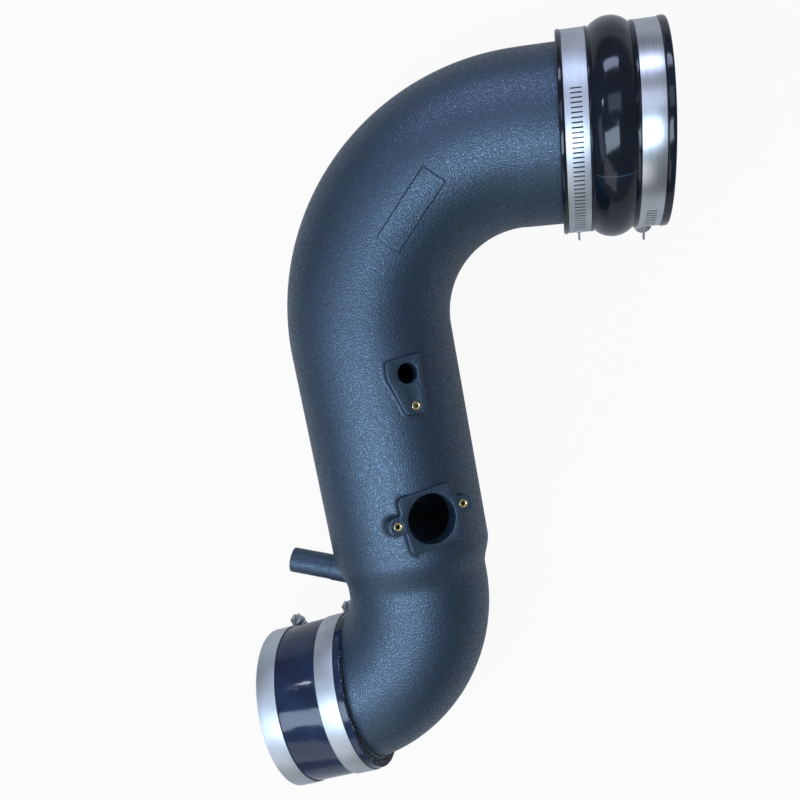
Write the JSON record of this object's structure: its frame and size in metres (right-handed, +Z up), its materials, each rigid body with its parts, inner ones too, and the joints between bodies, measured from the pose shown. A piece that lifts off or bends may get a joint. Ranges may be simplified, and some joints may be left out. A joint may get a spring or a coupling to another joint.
{
  "type": "cold air intake pipe",
  "caption": "S-shaped moulded air duct with sensor pads, a bare raised plate and a breather nipple, with a hump hose and a straight hose at its ends and worm drive clamps.",
  "frame": {"origin": "on the ground plane, below the middle of the whole part's box", "axes": "+Z up, square to the flat plane that the centreline lies in; +Y along the long leg, towards the main bend; +X towards the air box end"},
  "size_m": [0.3077, 0.4334, 0.1211],
  "materials": {
    "tube_plastic": "fine moulded grain",
    "hose_silicone": "glossy silicone over fabric",
    "band_steel": "satin stainless strip",
    "band_bright": "polished stainless strip",
    "clamp_zinc": "bright zinc plate",
    "insert_brass": "turned brass"
  },
  "bodies": {
    "root": {"main_bend": "tube_plastic", "leg": "tube_plastic", "elbow": "tube_plastic", "flow_pad": "tube_plastic", "temp_pad": "tube_plastic", "nipple": "tube_plastic", "temp_insert": "insert_brass", "flow_insert_left": "insert_brass", "flow_insert_right": "insert_brass", "hump_hose": "hose_silicone", "throttle_hose": "hose_silicone", "airbox_clamp_band": "band_bright", "airbox_clamp_saddle": "clamp_zinc", "airbox_clamp_housing": "clamp_zinc", "airbox_clamp_screw": "clamp_zinc", "inlet_clamp_band": "band_steel", "inlet_clamp_saddle": "clamp_zinc", "inlet_clamp_housing": "clamp_zinc", "inlet_clamp_screw": "clamp_zinc", "elbow_clamp_band": "band_steel", "elbow_clamp_saddle": "clamp_zinc", "elbow_clamp_housing": "clamp_zinc", "elbow_clamp_screw": "clamp_zinc", "throttle_clamp_band": "band_steel", "throttle_clamp_saddle": "clamp_zinc", "throttle_clamp_housing": "clamp_zinc", "throttle_clamp_screw": "clamp_zinc"}
  },
  "joints": []
}
